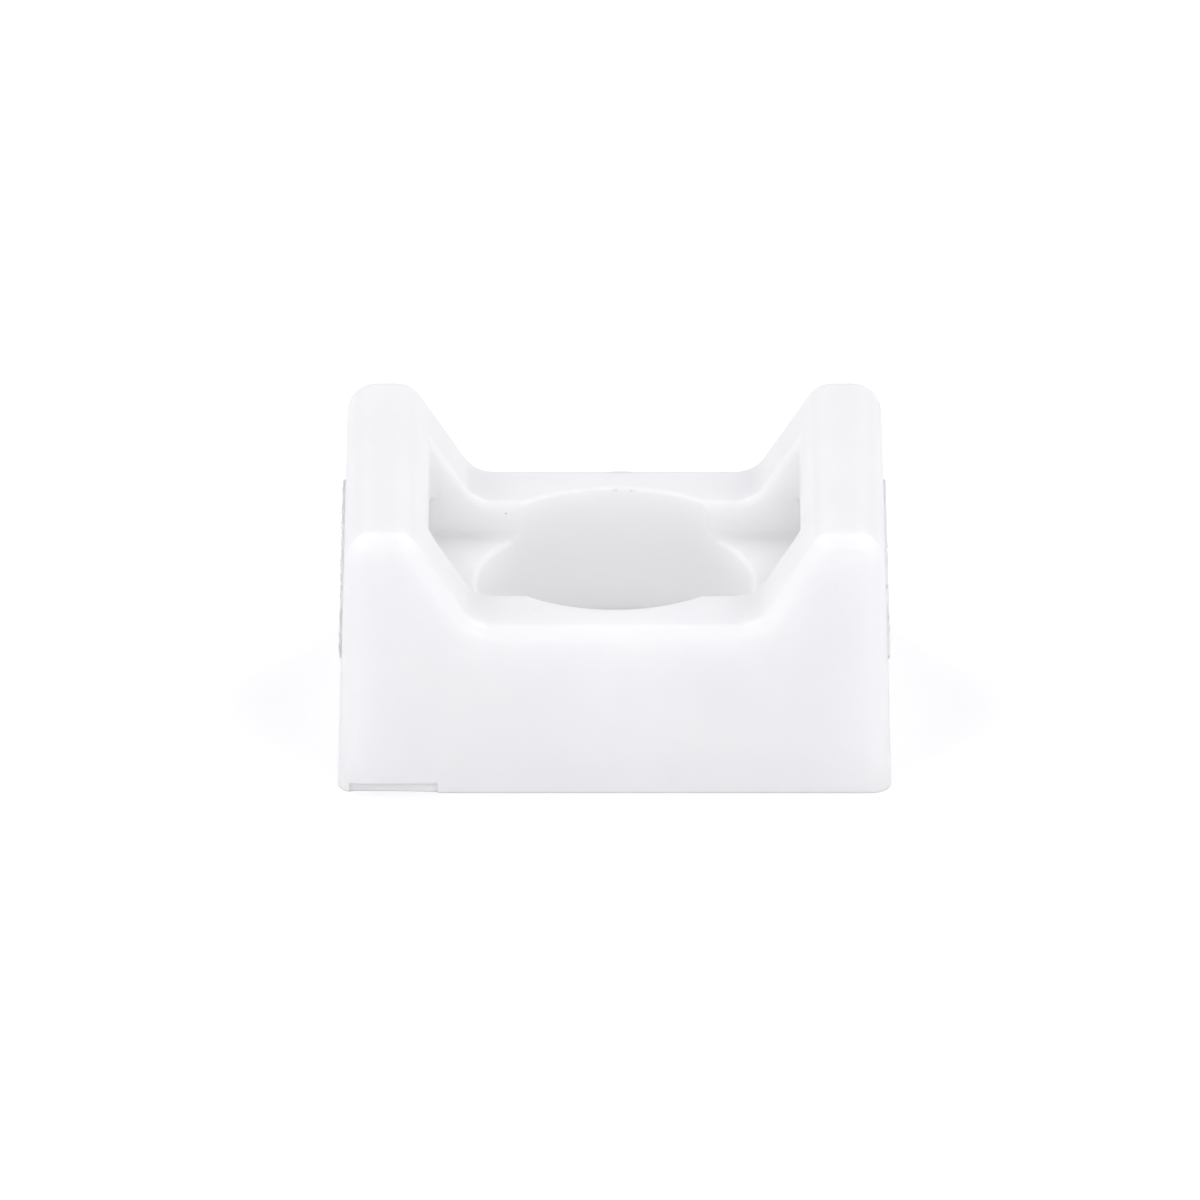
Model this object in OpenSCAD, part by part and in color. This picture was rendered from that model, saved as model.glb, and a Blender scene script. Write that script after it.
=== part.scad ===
// Screw-on saddle mount for a cable tie, moulded in one piece of nylon.
// Millimetres, +Z up. The origin is on the screw axis, in the plane of the foot.
// X runs along the mount, the way the tie is threaded. The bundle lies along Y in the saddle.

/* [Overall] */
// Length over the foot, along the tie
foot_l = 22.2; // [20.8:0.1:27]
// Width of the foot, along the bundle
foot_w = 15.9; // [15.2:0.1:20]
// Height from the foot to the top of the ears
mount_h = 11.1; // [10.2:0.1:13.4]
// Draft of the two end faces, in degrees
end_draft = 1.6; // [0.5:0.1:2.5]
// Draft of the two side faces, in degrees
side_draft = 2; // [0.5:0.1:2.5]
// Rounding along the edges of both side faces
edge_r = 0.8; // [0.4:0.05:1]

/* [Saddle] */
// Height of the saddle's floor above the foot
saddle_z = 7.05; // [6.6:0.05:8.5]
// Slope of the saddle's sides, in degrees
saddle_slope = 57.8; // [50:0.1:66]
// Thickness of each ear at its top
ear_top_t = 2.6; // [2.3:0.05:3.1]
// Radius where the floor turns up into a slope
saddle_r = 1.4; // [0.8:0.1:2]
// Radius on the inner top corner of each ear
ear_inner_r = 1.1; // [1.05:0.05:1.3]
// Radius on the outer top corner of each ear
ear_outer_r = 1.2; // [1.05:0.05:1.4]

/* [Tie path] */
// Width of the tie channel and of both slots
tie_w = 8.2; // [6:0.1:9.8]
// Depth of the tie channel below the saddle's floor
channel_depth = 1.45; // [1.1:0.05:1.6]
// Wall between the channel and each end of the foot
ear_wall_t = 3.6; // [3.2:0.1:3.9]
// Height of the slot through each ear
slot_h = 1.8; // [1.3:0.1:2.1]
// Radius in the upright corners of the channel
channel_corner_r = 0.5; // [0.3:0.1:1]
// Radius where the channel's floor meets its walls
floor_r = 0.3; // [0.1:0.05:0.4]
// Rounding along the channel's rim
rim_r = 0.4; // [0.2:0.05:0.5]
// Radius in the corners of each slot
slot_corner_r = 0.35; // [0.1:0.05:0.5]
// How far the pad round each slot mouth stands off the end face
pad_t = 0.1; // [0.05:0.05:0.3]
// Width of the pad beside the slot mouth
pad_side = 0.9; // [0.5:0.1:1.2]
// Height of the pad below the slot mouth
pad_below = 1.1; // [0.5:0.1:1.5]
// Height of the pad above the slot mouth
pad_above = 0.4; // [0.2:0.1:1]

/* [Screw] */
// Diameter of the well for the screw head
head_d = 11.1; // [9:0.1:11.9]
// Diameter of the screw hole
screw_d = 5.2; // [4.2:0.1:6]
// Thickness of the web that the screw head bears on
web_t = 1.6; // [1.2:0.1:2.4]
// Rounding on the rim of the well
well_rim_r = 0.3; // [0.1:0.05:0.4]

/* [Underside] */
// Wall left round the cored pockets
wall_t = 1.6; // [1.2:0.1:1.9]
// Floor left between a pocket and the tie channel
core_floor_t = 1.7; // [1.4:0.1:2.2]
// Radius in the upright corners of the cored pockets
core_corner_r = 0.6; // [0.3:0.1:1]
// Draft of the cored pockets' walls, in degrees
core_draft = 1; // [0.5:0.1:1.5]

/* [Hidden] */
$fn = 96;
// flats in each corner arc of the long profile
arc_steps = 7;
// flats across each rounded edge
edge_steps = 6;
// how far each cutter runs past what it cuts
past = 1;
// how far a revolved rounding bites past its tangent, which leaves a real edge there
bite = 0.01;
// how far the rim of the tie channel stands clear of the saddle, so that it cuts a clean edge
rim_lift = 0.005;
// least distance kept between two stations along the channel's rim
station_gap = 0.05;

half_l = foot_l / 2;
half_w = foot_w / 2;
half_tie = tie_w / 2;
half_channel = half_l - ear_wall_t;
tie_floor_z = saddle_z - channel_depth;
head_r = head_d / 2;

// ---- the long profile: foot, end face, ear and saddle, seen from the side ----

foot_pt = [half_l, 0];
shoulder_pt = [half_l - mount_h * tan(end_draft), mount_h];
brow_pt = [shoulder_pt.x - ear_top_t, mount_h];
heel_pt = [brow_pt.x - (mount_h - saddle_z) / tan(saddle_slope), saddle_z];

function unit(v) = v / norm(v);
function flip(p) = [-p.x, p.y];

// Each station is a point on a profile and the way out of the part there.
// Stations along the arc of radius r at b, on the way from a to c with the part on the right.
function arc_stations(a, b, c, r) =
    let (
        u = unit(a - b),
        v = unit(c - b),
        turn = 180 - acos(u * v),
        side = cross(b - a, c - b) < 0 ? 1 : -1,
        centre = b + unit(u + v) * r / cos(turn / 2),
        from = b + u * r * tan(turn / 2) - centre,
        start = atan2(from.y, from.x)
    )
    [
        for (i = [0:arc_steps])
            let (
                angle = start - side * turn * i / arc_steps,
                radial = [cos(angle), sin(angle)]
            )
            [centre + r * radial, side * radial]
    ];

profile_stations = [
    [flip(foot_pt), [-1 / cos(end_draft), 0]],
    each arc_stations(flip(foot_pt), flip(shoulder_pt), flip(brow_pt), ear_outer_r),
    each arc_stations(flip(shoulder_pt), flip(brow_pt), flip(heel_pt), ear_inner_r),
    each arc_stations(flip(brow_pt), flip(heel_pt), heel_pt, saddle_r),
    each arc_stations(flip(heel_pt), heel_pt, brow_pt, saddle_r),
    each arc_stations(heel_pt, brow_pt, shoulder_pt, ear_inner_r),
    each arc_stations(brow_pt, shoulder_pt, foot_pt, ear_outer_r),
    [foot_pt, [1 / cos(end_draft), 0]]
];

// height of the part's top at a given x
top_table = [for (s = profile_stations) s[0]];
function top_z(x) = lookup(x, top_table);

// ---- the blank: the long profile lofted across the width with its side edges rounded ----

// One ring of the loft: the profile drawn in by inset, set back by depth from one side face.
function blank_ring(inset, depth, side) = [
    for (s = profile_stations)
        let (p = s[0] - s[1] * inset)
        [p.x, side * (half_w - p.y * tan(side_draft) - depth), p.y]
];

edge_angles = [for (i = [0:edge_steps]) 90 * i / edge_steps];
function edge_inset(angle) = edge_r * (1 - sin(angle));
function edge_depth(angle) = edge_r * (1 - cos(angle));

blank_rings = [
    for (a = edge_angles) blank_ring(edge_inset(a), edge_depth(a), -1),
    for (i = [edge_steps:-1:0]) blank_ring(edge_inset(edge_angles[i]), edge_depth(edge_angles[i]), 1)
];

module blank() {
    across = len(profile_stations);
    deep = len(blank_rings);
    right = across - 1;
    front_at = deep * across;
    back_at = front_at + across - 2;
    last = (deep - 1) * across;
    function front(i) = i == 0 || i == right ? i : front_at + i - 1;
    function back(i) = i == 0 || i == right ? last + i : back_at + i - 1;
    polyhedron(
        points = [
            each [for (ring = blank_rings) each ring],
            each [for (i = [1:right - 1]) [blank_rings[0][i].x, -half_w, 0]],
            each [for (i = [1:right - 1]) [blank_rings[0][i].x, half_w, 0]]
        ],
        faces = [
            // the rounded skin, from one side face over to the other
            for (j = [0:deep - 2], i = [0:right - 1]) each [
                [j * across + i, (j + 1) * across + i, (j + 1) * across + i + 1],
                [j * across + i, (j + 1) * across + i + 1, j * across + i + 1]
            ],
            // both side faces, in upright strips
            for (i = [0:right - 1]) each [
                if (i > 0) [i, i + 1, front(i)],
                if (i < right - 1) [front(i), i + 1, front(i + 1)],
                if (i > 0) [last + i, back(i), last + i + 1],
                if (i < right - 1) [back(i), back(i + 1), last + i + 1]
            ],
            // the foot
            [
                for (j = [edge_steps:-1:1]) j * across,
                for (i = [0:right - 1]) front(i),
                for (j = [0:deep - 1]) j * across + right,
                for (i = [right - 1:-1:1]) back(i),
                for (j = [deep - 1:-1:edge_steps + 1]) j * across
            ]
        ]
    );
}

// ---- the tie channel: a sunk, round-cornered trough whose rim follows the saddle ----

// x of the stations that the channel's long sides share with the profile
side_xs = [
    for (s = profile_stations)
        let (x = s[0].x)
        if (abs(x) < half_channel - channel_corner_r - station_gap) x
];

// stations along a round corner of the channel in plan, from the angle start on
function corner_stations(sx, sy, start) =
    let (c = [sx * (half_channel - channel_corner_r), sy * (half_tie - channel_corner_r)])
    [
        for (i = [0:arc_steps])
            let (a = start + 90 * i / arc_steps, way = [cos(a), sin(a)])
            [c + channel_corner_r * way, way]
    ];

plan_stations = [
    each corner_stations(1, 1, 0),
    each [for (i = [len(side_xs) - 1:-1:0]) [[side_xs[i], half_tie], [0, 1]]],
    each corner_stations(-1, 1, 90),
    each corner_stations(-1, -1, 180),
    each [for (x = side_xs) [[x, -half_tie], [0, -1]]],
    each corner_stations(1, -1, 270)
];

// one ring of the trough at a fixed height, pushed out from its walls by grow
function level_ring(grow, z) = [
    for (s = plan_stations)
        let (p = s[0] + s[1] * grow)
        [p.x, p.y, z]
];

// one ring of the trough's rim, lying drop below the top of the part
function rim_ring(grow, drop) = [
    for (s = plan_stations)
        let (p = s[0] + s[1] * grow)
        [p.x, p.y, top_z(p.x) - drop + rim_lift]
];

module channel() {
    rings = [
        for (a = edge_angles) level_ring(-floor_r * (1 - sin(a)), tie_floor_z + floor_r * (1 - cos(a))),
        for (a = edge_angles) rim_ring(rim_r * (1 - cos(a)), rim_r * (1 - sin(a))),
        level_ring(rim_r, mount_h + past)
    ];
    round = len(plan_stations);
    last = (len(rings) - 1) * round;
    polyhedron(
        points = [each [for (ring = rings) each ring]],
        faces = [
            [for (i = [0:round - 1]) i],
            for (j = [0:len(rings) - 2], i = [0:round - 1])
                let (k = (i + 1) % round) each [
                    [j * round + i, (j + 1) * round + i, (j + 1) * round + k],
                    [j * round + i, (j + 1) * round + k, j * round + k]
                ],
            [for (i = [round - 1:-1:0]) last + i]
        ]
    );
}

// ---- the slots that lead the tie out through both ears ----

module both_ends() {
    children();
    mirror([1, 0, 0]) children();
}

// a rectangle from a to b with round corners
module round_rect(a, b, r) {
    size = b - a;
    translate(a) difference() {
        square(size);
        for (x = [0, 1], y = [0, 1])
            translate([x * size.x, y * size.y]) mirror([x, 0]) mirror([0, y]) difference() {
                translate([-past, -past]) square(past + r - bite);
                translate([r - bite, r - bite]) circle(r);
            }
    }
}

module slots() {
    both_ends() translate([half_channel - channel_corner_r, 0, 0]) rotate([90, 0, 90])
        linear_extrude(half_l - half_channel + channel_corner_r + past)
            round_rect([-half_tie, tie_floor_z], [half_tie, tie_floor_z + slot_h], slot_corner_r);
}

// the pad that each slot mouth stands in, on the leaning end face
module mouth_pads() {
    both_ends() translate([half_l, 0, 0]) rotate([0, -end_draft, 0]) translate([pad_t - past, 0, 0])
        rotate([90, 0, 90]) linear_extrude(past) round_rect(
            [-half_tie - pad_side, tie_floor_z - pad_below],
            [half_tie + pad_side, tie_floor_z + slot_h + pad_above],
            slot_corner_r
        );
}

// ---- the screw well and hole ----

module screw_well() {
    translate([0, 0, web_t]) cylinder(r = head_r, h = mount_h);
    translate([0, 0, -past]) cylinder(d = screw_d, h = web_t + 2 * past);
}

// takes the edge off the well's rim where it opens in a floor at height z
module well_flare(z, r) {
    translate([0, 0, z]) rotate_extrude() difference() {
        translate([head_r - past / 2, -(r - bite)]) square([past / 2 + r - bite, r + past / 2]);
        translate([head_r + r - bite, -(r - bite)]) circle(r);
    }
}

module well_rims() {
    // in the channel floor, between the walls
    intersection() {
        well_flare(tie_floor_z, well_rim_r);
        translate([-half_l, -half_tie + floor_r, 0]) cube([foot_l, tie_w - 2 * floor_r, mount_h]);
    }
    // in the saddle floor, where the well bites into both walls
    well_flare(saddle_z, well_rim_r / 2);
}

// ---- the cored pockets under the foot ----

// Each pocket narrows as it goes up, and the wall round the well thickens with it.
module cored_pockets() {
    pocket_top = tie_floor_z - core_floor_t;
    lean = tan(core_draft);
    corner_x = half_l - wall_t - core_corner_r;
    corner_y = half_w - wall_t - core_corner_r;
    both_ends() difference() {
        hull() for (x = [0, corner_x], side = [-1, 1])
            translate([x, side * corner_y, -past]) cylinder(
                r1 = core_corner_r + past * lean,
                r2 = core_corner_r - pocket_top * lean,
                h = pocket_top + past
            );
        translate([0, 0, -2 * past]) cylinder(
            r1 = head_r + wall_t - 2 * past * lean,
            r2 = head_r + wall_t + (pocket_top + past) * lean,
            h = pocket_top + 3 * past
        );
    }
}

module saddle_mount() {
    color("white") difference() {
        union() {
            blank();
            mouth_pads();
        }
        channel();
        slots();
        screw_well();
        well_rims();
        cored_pockets();
    }
}

saddle_mount();
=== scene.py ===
from math import cos, pi, radians, sin

import bmesh
import bpy
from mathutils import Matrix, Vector


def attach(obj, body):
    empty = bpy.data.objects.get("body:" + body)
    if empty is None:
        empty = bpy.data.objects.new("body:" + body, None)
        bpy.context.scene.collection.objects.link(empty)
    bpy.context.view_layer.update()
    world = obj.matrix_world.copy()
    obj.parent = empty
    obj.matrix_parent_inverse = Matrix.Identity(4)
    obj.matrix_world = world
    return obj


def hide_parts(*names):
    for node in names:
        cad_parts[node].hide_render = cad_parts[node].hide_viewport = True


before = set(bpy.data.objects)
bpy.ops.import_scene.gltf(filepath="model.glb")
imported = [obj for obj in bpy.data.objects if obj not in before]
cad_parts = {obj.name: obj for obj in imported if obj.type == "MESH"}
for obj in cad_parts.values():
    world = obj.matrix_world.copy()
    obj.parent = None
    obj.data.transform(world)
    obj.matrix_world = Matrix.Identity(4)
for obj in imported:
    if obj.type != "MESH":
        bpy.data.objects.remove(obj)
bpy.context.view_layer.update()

# ---------------------------------------------------------------------------
# The mount: one shot of unfilled natural nylon 66, milky and a little see-through.
# The mould leaves it satin all over, with softened edges and a faint cloudiness.
mount_body = bpy.data.objects.new("mount_body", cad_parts["saddle_mount"].data.copy())
bpy.context.collection.objects.link(mount_body)
bm = bmesh.new()
bm.from_mesh(mount_body.data)
bmesh.ops.remove_doubles(bm, verts=bm.verts, dist=2e-6)
bm.to_mesh(mount_body.data)
bm.free()

# a shallow step low on the front face, at its left, where the mould's halves met badly
step_left, step_right, step_top = -0.01065, -0.0071, 0.00039
deep_left, deep_right = 0.00022, 0.00012
front_y, past_front, past_foot = -0.00795, -0.0084, -0.0002
corners = []
for x, deep in ((step_left, deep_left), (step_right, deep_right)):
    corners += [(x, past_front, past_foot), (x, past_front, step_top),
                (x, deep + front_y, step_top), (x, deep + front_y, past_foot)]
step_cut = bpy.data.meshes.new("step_cut")
step_cut.from_pydata(corners, [], [(0, 1, 2, 3), (7, 6, 5, 4), (0, 4, 5, 1),
                                   (1, 5, 6, 2), (2, 6, 7, 3), (3, 7, 4, 0)])
cutter = bpy.data.objects.new("step_cut", step_cut)
bpy.context.collection.objects.link(cutter)
stepped = mount_body.modifiers.new("stepped", "BOOLEAN")
stepped.operation = "DIFFERENCE"
stepped.solver = "EXACT"
stepped.object = cutter
bpy.context.view_layer.update()
graph = bpy.context.evaluated_depsgraph_get()
mount_mesh = bpy.data.meshes.new_from_object(mount_body.evaluated_get(graph))
mount_body.modifiers.clear()
bpy.data.objects.remove(cutter)

# smooth all over but for the true corners
sharpest_smooth = radians(33)
bm = bmesh.new()
bm.from_mesh(mount_mesh)
for face in bm.faces:
    face.smooth = True
for edge in bm.edges:
    edge.smooth = len(edge.link_faces) == 2 and edge.calc_face_angle(0) < sharpest_smooth
bm.to_mesh(mount_mesh)
bm.free()
mount_mesh.name = "mount_body"
mount_body.data = mount_mesh
even_out = mount_body.modifiers.new("even_out", "WEIGHTED_NORMAL")
even_out.keep_sharp = True
even_out.weight = 100

nylon = bpy.data.materials.new("natural_nylon")
nylon.use_nodes = True
nodes, links = nylon.node_tree.nodes, nylon.node_tree.links
nodes.clear()
out = nodes.new("ShaderNodeOutputMaterial")
skin = nodes.new("ShaderNodeBsdfPrincipled")
links.new(skin.outputs["BSDF"], out.inputs["Surface"])
where = nodes.new("ShaderNodeTexCoord")

# cloudiness, a few millimetres across, as crystalline nylon has
cloud = nodes.new("ShaderNodeTexNoise")
cloud.inputs["Scale"].default_value = 260
cloud.inputs["Detail"].default_value = 3
links.new(where.outputs["Object"], cloud.inputs["Vector"])
milk = nodes.new("ShaderNodeValToRGB")
milk.color_ramp.elements[0].position = 0.35
milk.color_ramp.elements[0].color = (0.894, 0.894, 0.906, 1)
milk.color_ramp.elements[1].position = 0.65
milk.color_ramp.elements[1].color = (0.910, 0.910, 0.921, 1)
links.new(cloud.outputs["Fac"], milk.inputs["Fac"])


def sums_in(tree):
    """Gives a function that adds one step of sums to this node tree."""
    def step(kind, *terms):
        node = tree.nodes.new("ShaderNodeMath")
        node.operation = kind
        for socket, term in zip(node.inputs, terms):
            if isinstance(term, (int, float)):
                socket.default_value = term
            else:
                tree.links.new(term, socket)
        return node.outputs[0]
    return step


def between(value, low, high, at_low, at_high):
    """A smooth change from one amount to another as a length grows."""
    node = nodes.new("ShaderNodeMapRange")
    node.interpolation_type = "SMOOTHSTEP"
    for name, amount in (("From Min", low), ("From Max", high), ("To Min", at_low), ("To Max", at_high)):
        node.inputs[name].default_value = amount
    links.new(value, node.inputs["Value"])
    return node.outputs["Result"]


# painted light: the base colour is made whiter inside the channel and the well, most of all at both
# sides, to stand in for the light that comes through the walls there
sum_of = sums_in(nylon.node_tree)
place = nodes.new("ShaderNodeSeparateXYZ")
links.new(where.outputs["Object"], place.inputs["Vector"])
along, across, upward = place.outputs
off_middle = sum_of("ABSOLUTE", along)
from_axis = sum_of("SQRT", sum_of("ADD", sum_of("MULTIPLY", along, along),
                                  sum_of("MULTIPLY", across, across)))
in_channel = between(sum_of("ABSOLUTE", across), 0.0043, 0.0045, 1, 0)
in_well = between(from_axis, 0.00565, 0.00585, 1, 0)
short_of_ears = between(off_middle, 0.0073, 0.0077, 1, 0)
inside = sum_of("MULTIPLY", sum_of("MAXIMUM", in_channel, in_well), short_of_ears)
painted_light_amount = sum_of("MULTIPLY", between(off_middle, 0.0004, 0.0048, 0.36, 1), inside)
# painted light: the near-white colour mixed in here stands in for light coming through the walls
painted_light_colour = nodes.new("ShaderNodeMix")
painted_light_colour.data_type = "RGBA"
painted_light_colour.inputs["B"].default_value = (0.995, 0.995, 0.999, 1)
links.new(painted_light_amount, painted_light_colour.inputs["Factor"])
links.new(milk.outputs["Color"], painted_light_colour.inputs["A"])
links.new(painted_light_colour.outputs["Result"], skin.inputs["Base Color"])

# satin that comes and goes a little over the surface
satin = nodes.new("ShaderNodeTexNoise")
satin.inputs["Scale"].default_value = 900
satin.inputs["Detail"].default_value = 4
links.new(where.outputs["Object"], satin.inputs["Vector"])
gloss = nodes.new("ShaderNodeMapRange")
gloss.inputs["To Min"].default_value = 0.27
gloss.inputs["To Max"].default_value = 0.37
links.new(satin.outputs["Fac"], gloss.inputs["Value"])
links.new(gloss.outputs["Result"], skin.inputs["Roughness"])

# the fine grain of the mould, over edges that the mould's own small radii soften
soften = nodes.new("ShaderNodeBevel")
soften.samples = 8
links.new(between(upward, 0.0004, 0.0008, 0, 0.00012), soften.inputs["Radius"])
grain = nodes.new("ShaderNodeTexNoise")
grain.inputs["Scale"].default_value = 7000
grain.inputs["Detail"].default_value = 2
links.new(where.outputs["Object"], grain.inputs["Vector"])
press = nodes.new("ShaderNodeBump")
press.inputs["Strength"].default_value = 0.12
press.inputs["Distance"].default_value = 0.00001
links.new(grain.outputs["Fac"], press.inputs["Height"])
links.new(soften.outputs["Normal"], press.inputs["Normal"])
links.new(press.outputs["Normal"], skin.inputs["Normal"])

# light wanders a millimetre or so inside, and less by the foot, or the dark below would drain it
skin.inputs["IOR"].default_value = 1.53
skin.inputs["Subsurface Weight"].default_value = 1
skin.inputs["Subsurface Radius"].default_value = (1, 1, 1)
links.new(between(upward, 0, 0.0016, 0.00008, 0.0012), skin.inputs["Subsurface Scale"])
mount_body.data.materials.clear()
mount_body.data.materials.append(nylon)
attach(mount_body, "root")
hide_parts("saddle_mount")

# ---------------------------------------------------------------------------
# The torn skin on both end pads, where the gates were cut off the moulding.
# The cutter dragged it along the end, so it is ragged and matt, worse on the left end than on the right.
# The grey streaks in its colour are painted shade among the ragged bits.
pad_y, pad_low, pad_high = 0.0050, 0.0045, 0.0078
slot_y, slot_low, slot_high = 0.0041, 0.0056, 0.0074
pad_out = 0.0001
end_x, end_lean = 0.0111, radians(1.6)

torn = bpy.data.materials.new("torn_nylon")
torn.use_nodes = True
nodes, links = torn.node_tree.nodes, torn.node_tree.links
nodes.clear()
out = nodes.new("ShaderNodeOutputMaterial")
fray = nodes.new("ShaderNodeBsdfPrincipled")
links.new(fray.outputs["BSDF"], out.inputs["Surface"])
where = nodes.new("ShaderNodeTexCoord")
drag = nodes.new("ShaderNodeMapping")
drag.inputs["Scale"].default_value = (1, 0.35, 1)
links.new(where.outputs["Object"], drag.inputs["Vector"])
streak = nodes.new("ShaderNodeTexNoise")
streak.inputs["Scale"].default_value = 5200
streak.inputs["Detail"].default_value = 5
links.new(drag.outputs["Vector"], streak.inputs["Vector"])
# painted shade: grey streaks in the colour stand in for shade among the ragged bits
painted_shade_streaks = nodes.new("ShaderNodeValToRGB")
painted_shade_streaks.color_ramp.elements[0].position = 0.36
painted_shade_streaks.color_ramp.elements[0].color = (0.55, 0.55, 0.57, 1)
painted_shade_streaks.color_ramp.elements[1].position = 0.58
painted_shade_streaks.color_ramp.elements[1].color = (0.985, 0.985, 0.99, 1)
links.new(streak.outputs["Fac"], painted_shade_streaks.inputs["Fac"])
links.new(painted_shade_streaks.outputs["Color"], fray.inputs["Base Color"])
fray.inputs["Roughness"].default_value = 0.8
fray.inputs["Specular IOR Level"].default_value = 0.05


def torn_skin_tree():
    """A sheet over the pad, with the slot left out of it, that noise lifts through the pad's face."""
    tree = bpy.data.node_groups.new("torn_skin", "GeometryNodeTree")
    for name, kind in (("Pad width", "Float"), ("Pad height", "Float"), ("Slot width", "Float"),
                       ("Slot height", "Float"), ("Slot above middle", "Float"), ("Lift", "Float"),
                       ("Seed", "Float"), ("Skin", "Material")):
        tree.interface.new_socket(name, in_out="INPUT", socket_type="NodeSocket" + kind)
    tree.interface.new_socket("Geometry", in_out="OUTPUT", socket_type="NodeSocketGeometry")
    make, wire = tree.nodes.new, tree.links.new
    given = make("NodeGroupInput")
    sum_of = sums_in(tree)

    sheet = make("GeometryNodeMeshGrid")
    sheet.inputs["Vertices X"].default_value = 240
    sheet.inputs["Vertices Y"].default_value = 84
    wire(given.outputs["Pad width"], sheet.inputs["Size X"])
    wire(given.outputs["Pad height"], sheet.inputs["Size Y"])
    spot = make("GeometryNodeInputPosition")
    axes = make("ShaderNodeSeparateXYZ")
    wire(spot.outputs["Position"], axes.inputs["Vector"])
    across, upward, _ = axes.outputs

    # how far inside the pad's edge, and how far outside the slot's edge, each place is
    from_side = sum_of("SUBTRACT", sum_of("MULTIPLY", given.outputs["Pad width"], 0.5),
                       sum_of("ABSOLUTE", across))
    from_ends = sum_of("SUBTRACT", sum_of("MULTIPLY", given.outputs["Pad height"], 0.5),
                       sum_of("ABSOLUTE", upward))
    in_pad = sum_of("MINIMUM", from_side, from_ends)
    past_side = sum_of("SUBTRACT", sum_of("ABSOLUTE", across),
                       sum_of("MULTIPLY", given.outputs["Slot width"], 0.5))
    off_slot_middle = sum_of("SUBTRACT", upward, given.outputs["Slot above middle"])
    past_ends = sum_of("SUBTRACT", sum_of("ABSOLUTE", off_slot_middle),
                       sum_of("MULTIPLY", given.outputs["Slot height"], 0.5))
    off_slot = sum_of("MAXIMUM", past_side, past_ends)
    room = sum_of("MINIMUM", in_pad, off_slot)

    cut = make("GeometryNodeDeleteGeometry")
    cut.domain = "FACE"
    wire(sheet.outputs["Mesh"], cut.inputs["Geometry"])
    wire(sum_of("LESS_THAN", off_slot, 0.00002), cut.inputs["Selection"])

    place = make("ShaderNodeCombineXYZ")
    wire(sum_of("MULTIPLY", across, 0.4), place.inputs["X"])
    wire(upward, place.inputs["Y"])
    wire(sum_of("MULTIPLY", given.outputs["Seed"], 0.01), place.inputs["Z"])
    rough = make("ShaderNodeTexNoise")
    rough.inputs["Scale"].default_value = 3400
    rough.inputs["Detail"].default_value = 5
    rough.inputs["Roughness"].default_value = 0.62
    wire(place.outputs["Vector"], rough.inputs["Vector"])

    # noise lifts the skin, not at the rims, and never past a flat top or down to the pad's depth
    ragged = sum_of("MULTIPLY", sum_of("SUBTRACT", rough.outputs["Fac"], 0.44), 5)
    fade = make("ShaderNodeMapRange")
    fade.inputs["From Max"].default_value = 0.00015
    wire(room, fade.inputs["Value"])
    lifted_by = sum_of("MULTIPLY", sum_of("MULTIPLY", ragged, given.outputs["Lift"]),
                       fade.outputs["Result"])
    height = sum_of("SUBTRACT", lifted_by, 0.00001)
    kept_low = sum_of("MINIMUM", height, sum_of("MULTIPLY", given.outputs["Lift"], 1.5))
    rise = make("ShaderNodeCombineXYZ")
    wire(sum_of("MAXIMUM", kept_low, -0.00004), rise.inputs["Z"])
    lifted = make("GeometryNodeSetPosition")
    wire(cut.outputs["Geometry"], lifted.inputs["Geometry"])
    wire(rise.outputs["Vector"], lifted.inputs["Offset"])
    whole = make("GeometryNodeRealizeInstances")
    wire(lifted.outputs["Geometry"], whole.inputs["Geometry"])
    dressed = make("GeometryNodeSetMaterial")
    wire(whole.outputs["Geometry"], dressed.inputs["Geometry"])
    wire(given.outputs["Skin"], dressed.inputs["Material"])
    result = make("NodeGroupOutput")
    wire(dressed.outputs["Geometry"], result.inputs["Geometry"])
    return tree


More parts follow.
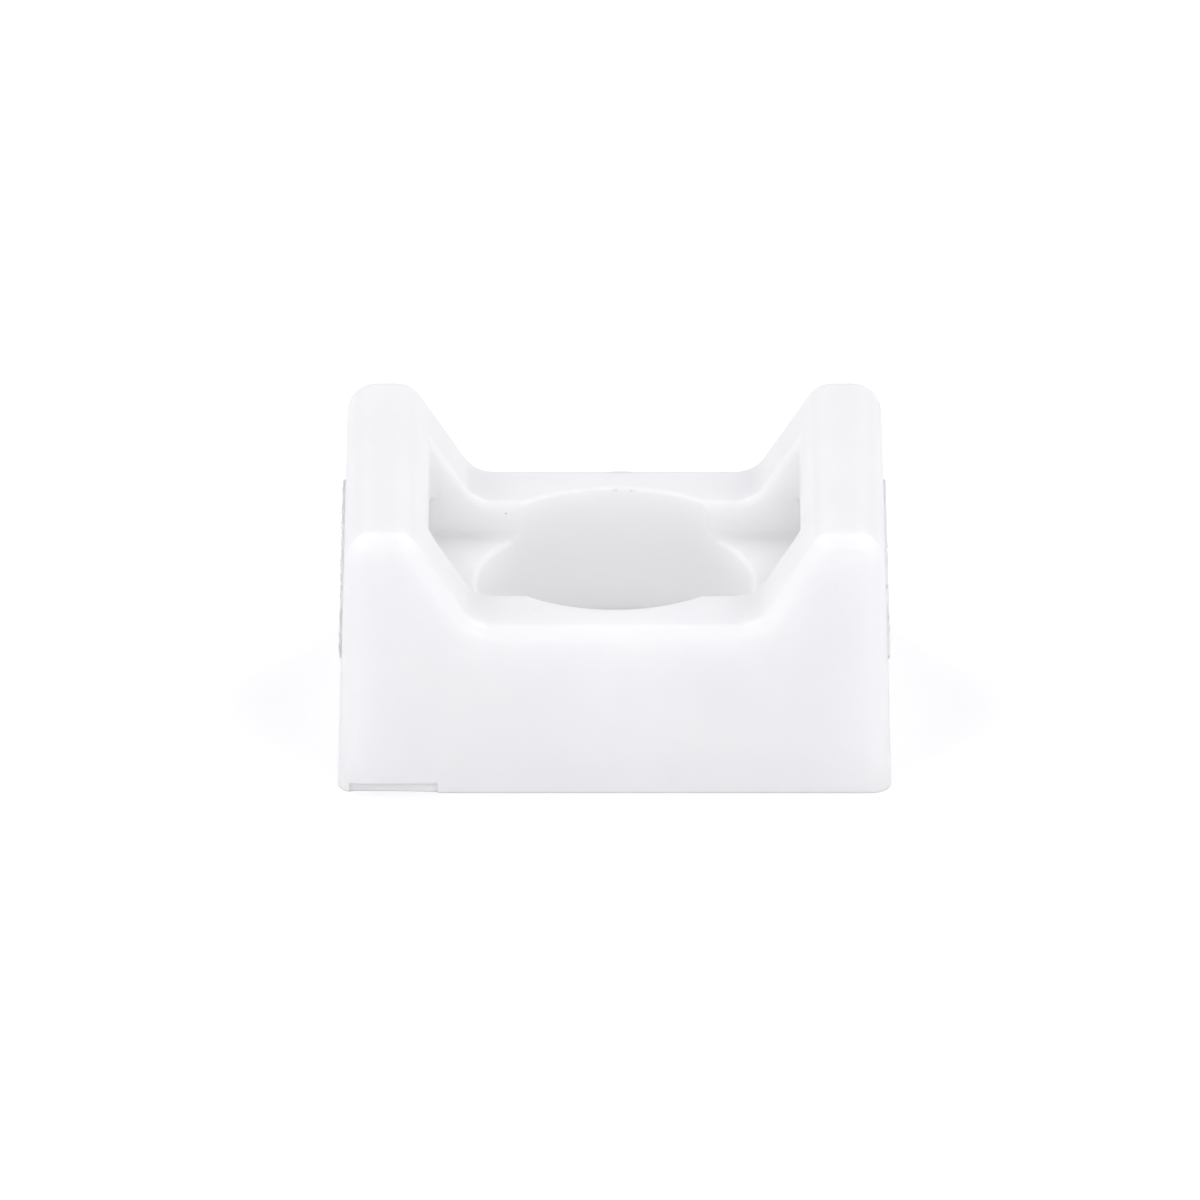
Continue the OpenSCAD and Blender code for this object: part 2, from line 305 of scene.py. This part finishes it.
torn_skin = torn_skin_tree()
rim_gap = 0.00004
skin_back = 0.00009
for side, name, lift, seed in ((-1, "torn_skin_left", 0.00006, 3), (1, "torn_skin_right", 0.000025, 8)):
    holder = bpy.data.objects.new("sheet", bpy.data.meshes.new("sheet"))
    bpy.context.collection.objects.link(holder)
    grown = holder.modifiers.new("torn_skin", "NODES")
    grown.node_group = torn_skin
    # the skin's rim keeps a hair inside the pad's own edges
    sizes = {"Pad width": 2 * pad_y - 2 * rim_gap, "Pad height": pad_high - pad_low - 2 * rim_gap,
             "Slot width": 2 * slot_y + 2 * rim_gap, "Slot height": slot_high - slot_low + 2 * rim_gap,
             "Slot above middle": (slot_high + slot_low - pad_high - pad_low) / 2,
             "Lift": lift, "Seed": float(seed), "Skin": torn}
    for item in torn_skin.interface.items_tree:
        if item.in_out == "INPUT":
            grown[item.identifier] = sizes[item.name]
    bpy.context.view_layer.update()
    graph = bpy.context.evaluated_depsgraph_get()
    skin_mesh = bpy.data.meshes.new_from_object(holder.evaluated_get(graph))
    bpy.data.objects.remove(holder)
    skin_mesh.materials.clear()
    skin_mesh.materials.append(torn)
    skin_mesh.polygons.foreach_set("material_index", [0] * len(skin_mesh.polygons))
    # stand the sheet up on the leaning end face: its X goes along Y, its Y up the face
    out_way = Vector((side * cos(end_lean), 0, sin(end_lean)))
    up_way = Vector((-side * sin(end_lean), 0, cos(end_lean)))
    middle = Vector((side * end_x, 0, 0)) + (pad_high + pad_low) / 2 * up_way + pad_out * out_way
    for vertex in skin_mesh.vertices:
        x, y, z = vertex.co
        vertex.co = middle + Vector((0, side * x, 0)) + y * up_way + z * out_way
        # the cutter's flat side kept the skin within the length of the foot
        vertex.co.x = side * min(abs(vertex.co.x), end_x - 0.00001)
    bm = bmesh.new()
    bm.from_mesh(skin_mesh)
    # a closed skin: each place is backed by one a little inside the pad
    grown_out = bmesh.ops.extrude_face_region(bm, geom=bm.faces[:])
    backed = [v for v in grown_out["geom"] if isinstance(v, bmesh.types.BMVert)]
    bmesh.ops.translate(bm, verts=backed, vec=-skin_back * out_way)
    bmesh.ops.recalc_face_normals(bm, faces=bm.faces)
    bm.to_mesh(skin_mesh)
    bm.free()
    skin_mesh.name = name
    torn_piece = bpy.data.objects.new(name, skin_mesh)
    bpy.context.collection.objects.link(torn_piece)
    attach(torn_piece, "root")

# ---------------------------------------------------------------------------
# Small marks that the mould left: the low lump of a vent on the back ledge's outer
# edge, two beads on the well's rim below it, and two pimples on the front ledge.
# They are too small to let light wander inside, so their skin is a plain milky one.
bead_nylon = bpy.data.materials.new("bead_nylon")
bead_nylon.use_nodes = True
nodes, links = bead_nylon.node_tree.nodes, bead_nylon.node_tree.links
bead_skin = nodes["Principled BSDF"]
bead_skin.inputs["Roughness"].default_value = 0.35
where = nodes.new("ShaderNodeTexCoord")
cloud = nodes.new("ShaderNodeTexNoise")
cloud.inputs["Scale"].default_value = 3000
links.new(where.outputs["Object"], cloud.inputs["Vector"])
milk = nodes.new("ShaderNodeValToRGB")
milk.color_ramp.elements[0].color = (0.90, 0.90, 0.91, 1)
milk.color_ramp.elements[1].color = (0.97, 0.97, 0.98, 1)
links.new(cloud.outputs["Fac"], milk.inputs["Fac"])
links.new(milk.outputs["Color"], bead_skin.inputs["Base Color"])


def small_lump(name, spot, size, around, up_and_down, finish):
    """A rounded lump half sunk in the mount: its middle, its half sizes, and how finely it is made."""
    bm = bmesh.new()
    bmesh.ops.create_uvsphere(bm, u_segments=around, v_segments=up_and_down, radius=1)
    for vertex in bm.verts:
        vertex.co = Vector(spot) + Vector([a * b for a, b in zip(vertex.co, size)])
    for face in bm.faces:
        face.smooth = True
    lump_mesh = bpy.data.meshes.new(name)
    bm.to_mesh(lump_mesh)
    bm.free()
    lump_mesh.materials.append(finish)
    lump = bpy.data.objects.new(name, lump_mesh)
    bpy.context.collection.objects.link(lump)
    return lump


for name, spot, size in (("vent_lump", (0.00028, 0.0072, 0.00695), (0.00052, 0.00016, 0.00006)),
                         ("rim_bead_left", (0.00002, 0.00548, 0.00703), (0.00009, 0.00008, 0.00008)),
                         ("rim_bead_right", (0.00069, 0.00545, 0.00703), (0.00008, 0.00008, 0.00007)),
                         ("pimple_near", (-0.00315, -0.00539, 0.00703), (0.00009, 0.00009, 0.00008)),
                         ("pimple_far", (-0.00399, -0.00585, 0.00703), (0.00008, 0.00008, 0.00005))):
    mark = small_lump(name, spot, size, 20, 12, bead_nylon)
    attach(mark, "root")

# ---------------------------------------------------------------------------
# One dark speck of burnt nylon in the skin of the channel's back wall, at the left.
# It came with the melt, so it lies almost flush in the wall.
burnt = bpy.data.materials.new("burnt_nylon")
burnt.use_nodes = True
nodes, links = burnt.node_tree.nodes, burnt.node_tree.links
char = nodes["Principled BSDF"]
char.inputs["Roughness"].default_value = 0.5
where = nodes.new("ShaderNodeTexCoord")
mottle = nodes.new("ShaderNodeTexNoise")
mottle.inputs["Scale"].default_value = 20000
links.new(where.outputs["Object"], mottle.inputs["Vector"])
brown = nodes.new("ShaderNodeValToRGB")
brown.color_ramp.elements[0].color = (0.22, 0.21, 0.22, 1)
brown.color_ramp.elements[1].color = (0.45, 0.43, 0.44, 1)
links.new(mottle.outputs["Fac"], brown.inputs["Fac"])
links.new(brown.outputs["Color"], char.inputs["Base Color"])
speck = small_lump("speck", (-0.00439, 0.00413, 0.00662), (0.00003, 0.00006, 0.00004), 12, 8, burnt)
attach(speck, "root")

# ---------------------------------------------------------------------------
# The table: a plain white sheet, so wide that its edges are never seen.
# It looks white to the camera, but throws less light back up at the mount.
bpy.ops.mesh.primitive_plane_add(size=6, location=(0, 0, -0.00002))
table = bpy.context.object
table.name = "table"
paper = bpy.data.materials.new("white_sheet")
paper.use_nodes = True
nodes, links = paper.node_tree.nodes, paper.node_tree.links
nodes.clear()
out = nodes.new("ShaderNodeOutputMaterial")
seen = nodes.new("ShaderNodeBsdfDiffuse")
seen.inputs["Color"].default_value = (0.9, 0.9, 0.9, 1)
lift = nodes.new("ShaderNodeEmission")
lift.inputs["Strength"].default_value = 0.18
bright = nodes.new("ShaderNodeAddShader")
links.new(seen.outputs["BSDF"], bright.inputs[0])
links.new(lift.outputs["Emission"], bright.inputs[1])
bounce = nodes.new("ShaderNodeBsdfDiffuse")
bounce.inputs["Color"].default_value = (0.82, 0.8, 0.81, 1)
path = nodes.new("ShaderNodeLightPath")
pick = nodes.new("ShaderNodeMixShader")
links.new(path.outputs["Is Camera Ray"], pick.inputs["Fac"])
links.new(bounce.outputs["BSDF"], pick.inputs[1])
links.new(bright.outputs["Shader"], pick.inputs[2])
links.new(pick.outputs["Shader"], out.inputs["Surface"])
table.data.materials.append(paper)

# ---------------------------------------------------------------------------
# The light: a white tent. Its walls glow faintly all round and more at both sides,
# with a soft patch high in each corner, one low at each front corner and one in front.
tent = bpy.data.worlds.new("tent")
tent.use_nodes = True
nodes, links = tent.node_tree.nodes, tent.node_tree.links
nodes.clear()
out = nodes.new("ShaderNodeOutputWorld")
facing = nodes.new("ShaderNodeTexCoord")
ways = nodes.new("ShaderNodeSeparateXYZ")
links.new(facing.outputs["Generated"], ways.inputs["Vector"])
sum_of = sums_in(tent.node_tree)
sideways = sum_of("ABSOLUTE", ways.outputs["X"])
patch_focus = 24


def glow_at(x, y, z):
    """How bright a soft patch is, with its middle this way off, on the left and on the right."""
    length = (x * x + y * y + z * z) ** 0.5
    near = sum_of("ADD", sum_of("MULTIPLY", sideways, x / length),
                  sum_of("MULTIPLY", ways.outputs["Y"], y / length))
    near = sum_of("ADD", near, sum_of("MULTIPLY", ways.outputs["Z"], z / length))
    return sum_of("POWER", sum_of("MAXIMUM", near, 0), patch_focus)


glow = sum_of("MULTIPLY_ADD", sum_of("MULTIPLY", sideways, sideways), 0.78, 0.2)
for x, y, z, strength in ((0, -0.87, 0.5, 0.72),      # in front
                          (0.5, -0.5, 0.7, 2.77),     # high, at the front corners
                          (0.5, 0.5, 0.7, 3.1),       # high, at the back corners
                          (0.7, -0.7, 0.1, 1.22)):    # low, at the front corners
    glow = sum_of("MULTIPLY_ADD", glow_at(x, y, z), strength, glow)
cloth = nodes.new("ShaderNodeBackground")
cloth.inputs["Color"].default_value = (0.982, 0.982, 1, 1)
links.new(glow, cloth.inputs["Strength"])
backdrop = nodes.new("ShaderNodeBackground")
backdrop.inputs["Color"].default_value = (1, 1, 1, 1)
path = nodes.new("ShaderNodeLightPath")
pick = nodes.new("ShaderNodeMixShader")
links.new(path.outputs["Is Camera Ray"], pick.inputs["Fac"])
links.new(cloth.outputs["Background"], pick.inputs[1])
links.new(backdrop.outputs["Background"], pick.inputs[2])
links.new(pick.outputs["Shader"], out.inputs["Surface"])
bpy.context.scene.world = tent

# ---------------------------------------------------------------------------
# The camera: a long lens, a step back, looking along the bundle's line and down.
tilt = radians(26.08)
ahead = Vector((0, cos(tilt), -sin(tilt)))
up = Vector((0, sin(tilt), cos(tilt)))
lens = bpy.data.cameras.new("camera")
lens.lens = 717.6
lens.sensor_width = 36
camera = bpy.data.objects.new("camera", lens)
ledge_middle, step_back = Vector((0, 0, 0.00705)), 0.9647
camera.location = ledge_middle - step_back * ahead - 0.00209 * up + Vector((-0.000585, 0, 0))
camera.rotation_euler = (pi / 2 - tilt, 0, 0)
bpy.context.collection.objects.link(camera)
bpy.context.scene.camera = camera
bpy.context.scene.view_settings.view_transform = "Standard"
